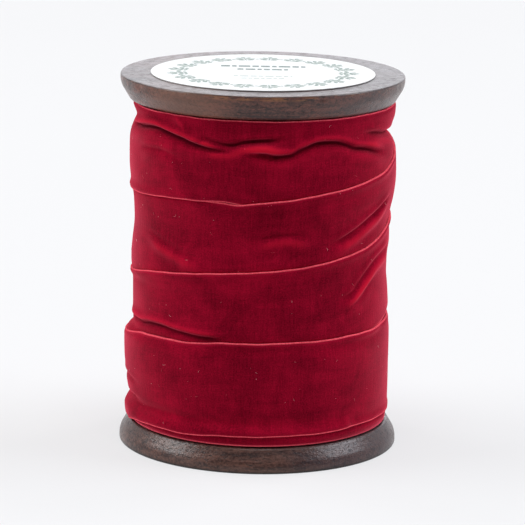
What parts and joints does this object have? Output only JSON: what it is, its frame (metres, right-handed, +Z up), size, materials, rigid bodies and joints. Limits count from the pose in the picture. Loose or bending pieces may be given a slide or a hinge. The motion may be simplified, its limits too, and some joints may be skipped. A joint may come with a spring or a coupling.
{
  "type": "ribbon spool",
  "caption": "Stained wooden reel with flared rims and a paper label on top, wound with one length of red velvet ribbon whose free end peels away at the back.",
  "frame": {"origin": "centre of the reel's underside, on the surface it stands on", "axes": "+Z up the reel's axis; -Y faces the front, where the ribbon's turns are seen, and the ribbon's free end is at the back"},
  "size_m": [0.076, 0.076, 0.1008],
  "materials": {
    "stained_wood": "dark walnut stain, satin, worn along the rims",
    "dowel_wood": "bare beech",
    "label_paper": "matt printed paper",
    "tape": "clear double-sided tape",
    "velvet": "short-pile velvet with woven selvedges"
  },
  "bodies": {
    "spool": {"top_flange": "stained_wood", "base_flange": "stained_wood", "barrel": "stained_wood", "centre_dowel": "dowel_wood", "top_label": "label_paper", "anchor_tape": "tape", "ribbon_inner_layers": "velvet", "ribbon_outer_turns": "velvet"},
    "tail_root": {"ribbon_tail_1": "velvet"},
    "tail_middle": {"ribbon_tail_2": "velvet"},
    "tail_end": {"ribbon_tail_3": "velvet"}
  },
  "joints": [
    {"name": "tail_peel", "type": "hinge", "parent": "spool", "child": "tail_root", "pos_m": [-0.01248, 0.0343, 0.0194], "axis": [0, 0, 1], "range_deg": [0, 38]},
    {"name": "tail_bend_middle", "type": "hinge", "parent": "tail_root", "child": "tail_middle", "pos_m": [0.00634, 0.03595, 0.0194], "axis": [0, 0, 1], "range_deg": [0, 38]},
    {"name": "tail_bend_end", "type": "hinge", "parent": "tail_middle", "child": "tail_end", "pos_m": [0.02346, 0.02796, 0.0194], "axis": [0, 0, 1], "range_deg": [0, 38]}
  ],
  "couplings": [
    {"joint": "tail_bend_middle", "follows": "tail_peel", "ratio": 1},
    {"joint": "tail_bend_end", "follows": "tail_peel", "ratio": 1}
  ]
}
